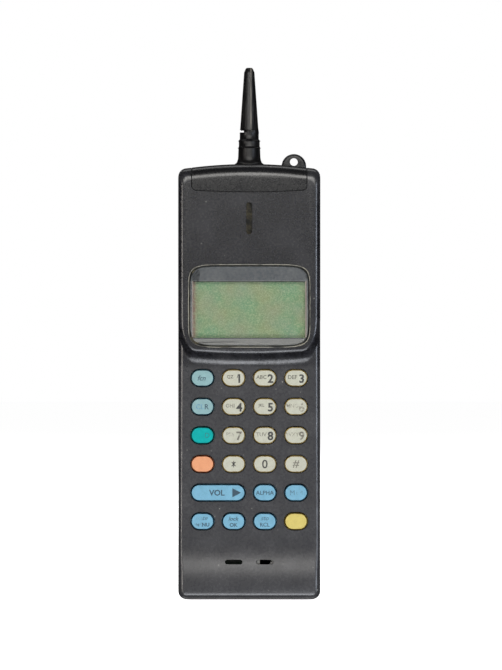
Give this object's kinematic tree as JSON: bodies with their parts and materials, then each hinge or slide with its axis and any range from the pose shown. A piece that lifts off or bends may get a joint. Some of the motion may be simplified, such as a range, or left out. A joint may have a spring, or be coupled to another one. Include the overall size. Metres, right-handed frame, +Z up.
{
  "type": "brick cell phone",
  "caption": "Slim upright early cell phone with a raised display section, coloured rubber keys, a rocking volume key, a screw-in stub antenna, a strap eye and a clip-on battery.",
  "frame": {"origin": "middle of the base, on the surface that the handset stands on, halfway through its width and depth", "axes": "+Z up to the antenna, -Y out of the display and keys, +X to the right as the keys are read"},
  "size_m": [0.057, 0.028, 0.2145],
  "materials": {
    "case_plastic": "fine matt moulded plastic, worn satin on the edges",
    "rear_plastic": "matt moulded plastic",
    "window_acrylic": "clear polished acrylic",
    "adhesive_tape": "aged adhesive edge",
    "frame_plastic": "matt moulded plastic",
    "picture_glass": "reflective green display, mottled with age",
    "light_guide_acrylic": "frosted acrylic",
    "capsule_plastic": "moulded plastic",
    "dust_felt": "dusty felt",
    "capsule_metal": "drawn can",
    "boot_rubber": "moulded rubber",
    "mat_rubber": "moulded silicone rubber",
    "circuit_board": "solder mask",
    "chip_plastic": "moulded plastic",
    "connector_plastic": "moulded plastic",
    "tinned_steel": "tinned sheet",
    "filter_metal": "plated block",
    "contact_brass": "plated brass",
    "screw_steel": "zinc plated",
    "cell_can": "sleeved can",
    "washer_rubber": "moulded rubber",
    "antenna_rubber": "satin moulded rubber, scuffed",
    "copper_wire": "drawn wire",
    "key_cream": "moulded silicone rubber, yellowed at the rim",
    "key_grey_blue": "moulded silicone rubber",
    "key_blue": "moulded silicone rubber",
    "key_teal": "moulded silicone rubber",
    "key_salmon": "moulded silicone rubber",
    "key_yellow": "moulded silicone rubber"
  },
  "bodies": {
    "phone": {"front_cover": "case_plastic", "rear_cover": "rear_plastic", "badge_panel": "case_plastic", "display_window": "window_acrylic", "window_seal": "adhesive_tape", "lcd_frame": "frame_plastic", "lcd_glass": "picture_glass", "light_guide": "light_guide_acrylic", "earpiece": "capsule_plastic", "earpiece_felt": "dust_felt", "microphone": "capsule_metal", "microphone_boot": "boot_rubber", "keypad_mat": "mat_rubber", "main_board": "circuit_board", "logic_chips": "chip_plastic", "board_connector": "connector_plastic", "radio_board": "circuit_board", "rf_shield": "tinned_steel", "duplex_filter": "filter_metal", "ringer": "capsule_plastic", "system_connector": "chip_plastic", "battery_contacts": "contact_brass", "antenna_socket": "contact_brass", "antenna_contact": "contact_brass", "case_screws": "screw_steel", "latch_spring": "screw_steel"},
    "key_function": {"key_function": "key_grey_blue"},
    "key_1": {"key_1": "key_cream"},
    "key_2": {"key_2": "key_cream"},
    "key_3": {"key_3": "key_cream"},
    "key_clear": {"key_clear": "key_grey_blue"},
    "key_4": {"key_4": "key_cream"},
    "key_5": {"key_5": "key_cream"},
    "key_6": {"key_6": "key_cream"},
    "key_call": {"key_call": "key_teal"},
    "key_7": {"key_7": "key_cream"},
    "key_8": {"key_8": "key_cream"},
    "key_9": {"key_9": "key_cream"},
    "key_end": {"key_end": "key_salmon"},
    "key_star": {"key_star": "key_cream"},
    "key_0": {"key_0": "key_cream"},
    "key_hash": {"key_hash": "key_cream"},
    "key_volume": {"key_volume": "key_blue"},
    "key_alpha": {"key_alpha": "key_blue"},
    "key_store": {"key_store": "key_blue"},
    "key_menu": {"key_menu": "key_blue"},
    "key_ok": {"key_ok": "key_blue"},
    "key_recall": {"key_recall": "key_blue"},
    "key_power": {"key_power": "key_yellow"},
    "latch": {"battery_latch": "rear_plastic"},
    "battery": {"battery_case": "rear_plastic", "battery_lid": "rear_plastic", "battery_cells": "cell_can", "battery_terminals": "contact_brass"},
    "antenna_seat": {"antenna_washer": "washer_rubber"},
    "antenna": {"antenna_sleeve": "antenna_rubber", "antenna_coil": "copper_wire", "antenna_stud": "contact_brass"}
  },
  "joints": [
    {"name": "key_function_press", "type": "slide", "parent": "phone", "child": "key_function", "axis": [0, 1, 0], "range_m": [0, 0.001], "stiffness_N_per_m": 300},
    {"name": "key_1_press", "type": "slide", "parent": "phone", "child": "key_1", "axis": [0, 1, 0], "range_m": [0, 0.001], "stiffness_N_per_m": 300},
    {"name": "key_2_press", "type": "slide", "parent": "phone", "child": "key_2", "axis": [0, 1, 0], "range_m": [0, 0.001], "stiffness_N_per_m": 300},
    {"name": "key_3_press", "type": "slide", "parent": "phone", "child": "key_3", "axis": [0, 1, 0], "range_m": [0, 0.001], "stiffness_N_per_m": 300},
    {"name": "key_clear_press", "type": "slide", "parent": "phone", "child": "key_clear", "axis": [0, 1, 0], "range_m": [0, 0.001], "stiffness_N_per_m": 300},
    {"name": "key_4_press", "type": "slide", "parent": "phone", "child": "key_4", "axis": [0, 1, 0], "range_m": [0, 0.001], "stiffness_N_per_m": 300},
    {"name": "key_5_press", "type": "slide", "parent": "phone", "child": "key_5", "axis": [0, 1, 0], "range_m": [0, 0.001], "stiffness_N_per_m": 300},
    {"name": "key_6_press", "type": "slide", "parent": "phone", "child": "key_6", "axis": [0, 1, 0], "range_m": [0, 0.001], "stiffness_N_per_m": 300},
    {"name": "key_call_press", "type": "slide", "parent": "phone", "child": "key_call", "axis": [0, 1, 0], "range_m": [0, 0.001], "stiffness_N_per_m": 300},
    {"name": "key_7_press", "type": "slide", "parent": "phone", "child": "key_7", "axis": [0, 1, 0], "range_m": [0, 0.001], "stiffness_N_per_m": 300},
    {"name": "key_8_press", "type": "slide", "parent": "phone", "child": "key_8", "axis": [0, 1, 0], "range_m": [0, 0.001], "stiffness_N_per_m": 300},
    {"name": "key_9_press", "type": "slide", "parent": "phone", "child": "key_9", "axis": [0, 1, 0], "range_m": [0, 0.001], "stiffness_N_per_m": 300},
    {"name": "key_end_press", "type": "slide", "parent": "phone", "child": "key_end", "axis": [0, 1, 0], "range_m": [0, 0.001], "stiffness_N_per_m": 300},
    {"name": "key_star_press", "type": "slide", "parent": "phone", "child": "key_star", "axis": [0, 1, 0], "range_m": [0, 0.001], "stiffness_N_per_m": 300},
    {"name": "key_0_press", "type": "slide", "parent": "phone", "child": "key_0", "axis": [0, 1, 0], "range_m": [0, 0.001], "stiffness_N_per_m": 300},
    {"name": "key_hash_press", "type": "slide", "parent": "phone", "child": "key_hash", "axis": [0, 1, 0], "range_m": [0, 0.001], "stiffness_N_per_m": 300},
    {"name": "key_volume_rock", "type": "hinge", "parent": "phone", "child": "key_volume", "pos_m": [-0.0125, -0.0084, 0.04289], "axis": [0, 0, 1], "range_deg": [-3, 3], "stiffness_Nm_per_rad": 0.08},
    {"name": "key_alpha_press", "type": "slide", "parent": "phone", "child": "key_alpha", "axis": [0, 1, 0], "range_m": [0, 0.001], "stiffness_N_per_m": 300},
    {"name": "key_store_press", "type": "slide", "parent": "phone", "child": "key_store", "axis": [0, 1, 0], "range_m": [0, 0.001], "stiffness_N_per_m": 300},
    {"name": "key_menu_press", "type": "slide", "parent": "phone", "child": "key_menu", "axis": [0, 1, 0], "range_m": [0, 0.001], "stiffness_N_per_m": 300},
    {"name": "key_ok_press", "type": "slide", "parent": "phone", "child": "key_ok", "axis": [0, 1, 0], "range_m": [0, 0.001], "stiffness_N_per_m": 300},
    {"name": "key_recall_press", "type": "slide", "parent": "phone", "child": "key_recall", "axis": [0, 1, 0], "range_m": [0, 0.001], "stiffness_N_per_m": 300},
    {"name": "key_power_press", "type": "slide", "parent": "phone", "child": "key_power", "axis": [0, 1, 0], "range_m": [0, 0.001], "stiffness_N_per_m": 300},
    {"name": "latch_slide", "type": "slide", "parent": "phone", "child": "latch", "axis": [0, 0, 1], "range_m": [0, 0.0025], "stiffness_N_per_m": 150, "springref_m": -0.002, "deforming": ["latch_spring"]},
    {"name": "battery_swing", "type": "hinge", "parent": "phone", "child": "battery", "pos_m": [0, 0.0126, 0.0056], "axis": [-1, 0, 0], "range_deg": [0, 15]},
    {"name": "antenna_lift", "type": "slide", "parent": "phone", "child": "antenna_seat", "axis": [0, 0, 1], "range_m": [0, 0.003]},
    {"name": "antenna_turn", "type": "hinge", "parent": "antenna_seat", "child": "antenna", "pos_m": [0, 0.00502, 0.1753], "axis": [0, 0, 1], "range_deg": [0, 1080]}
  ],
  "couplings": [
    {"joint": "antenna_turn", "follows": "antenna_lift", "rad_per_m": 6280}
  ]
}
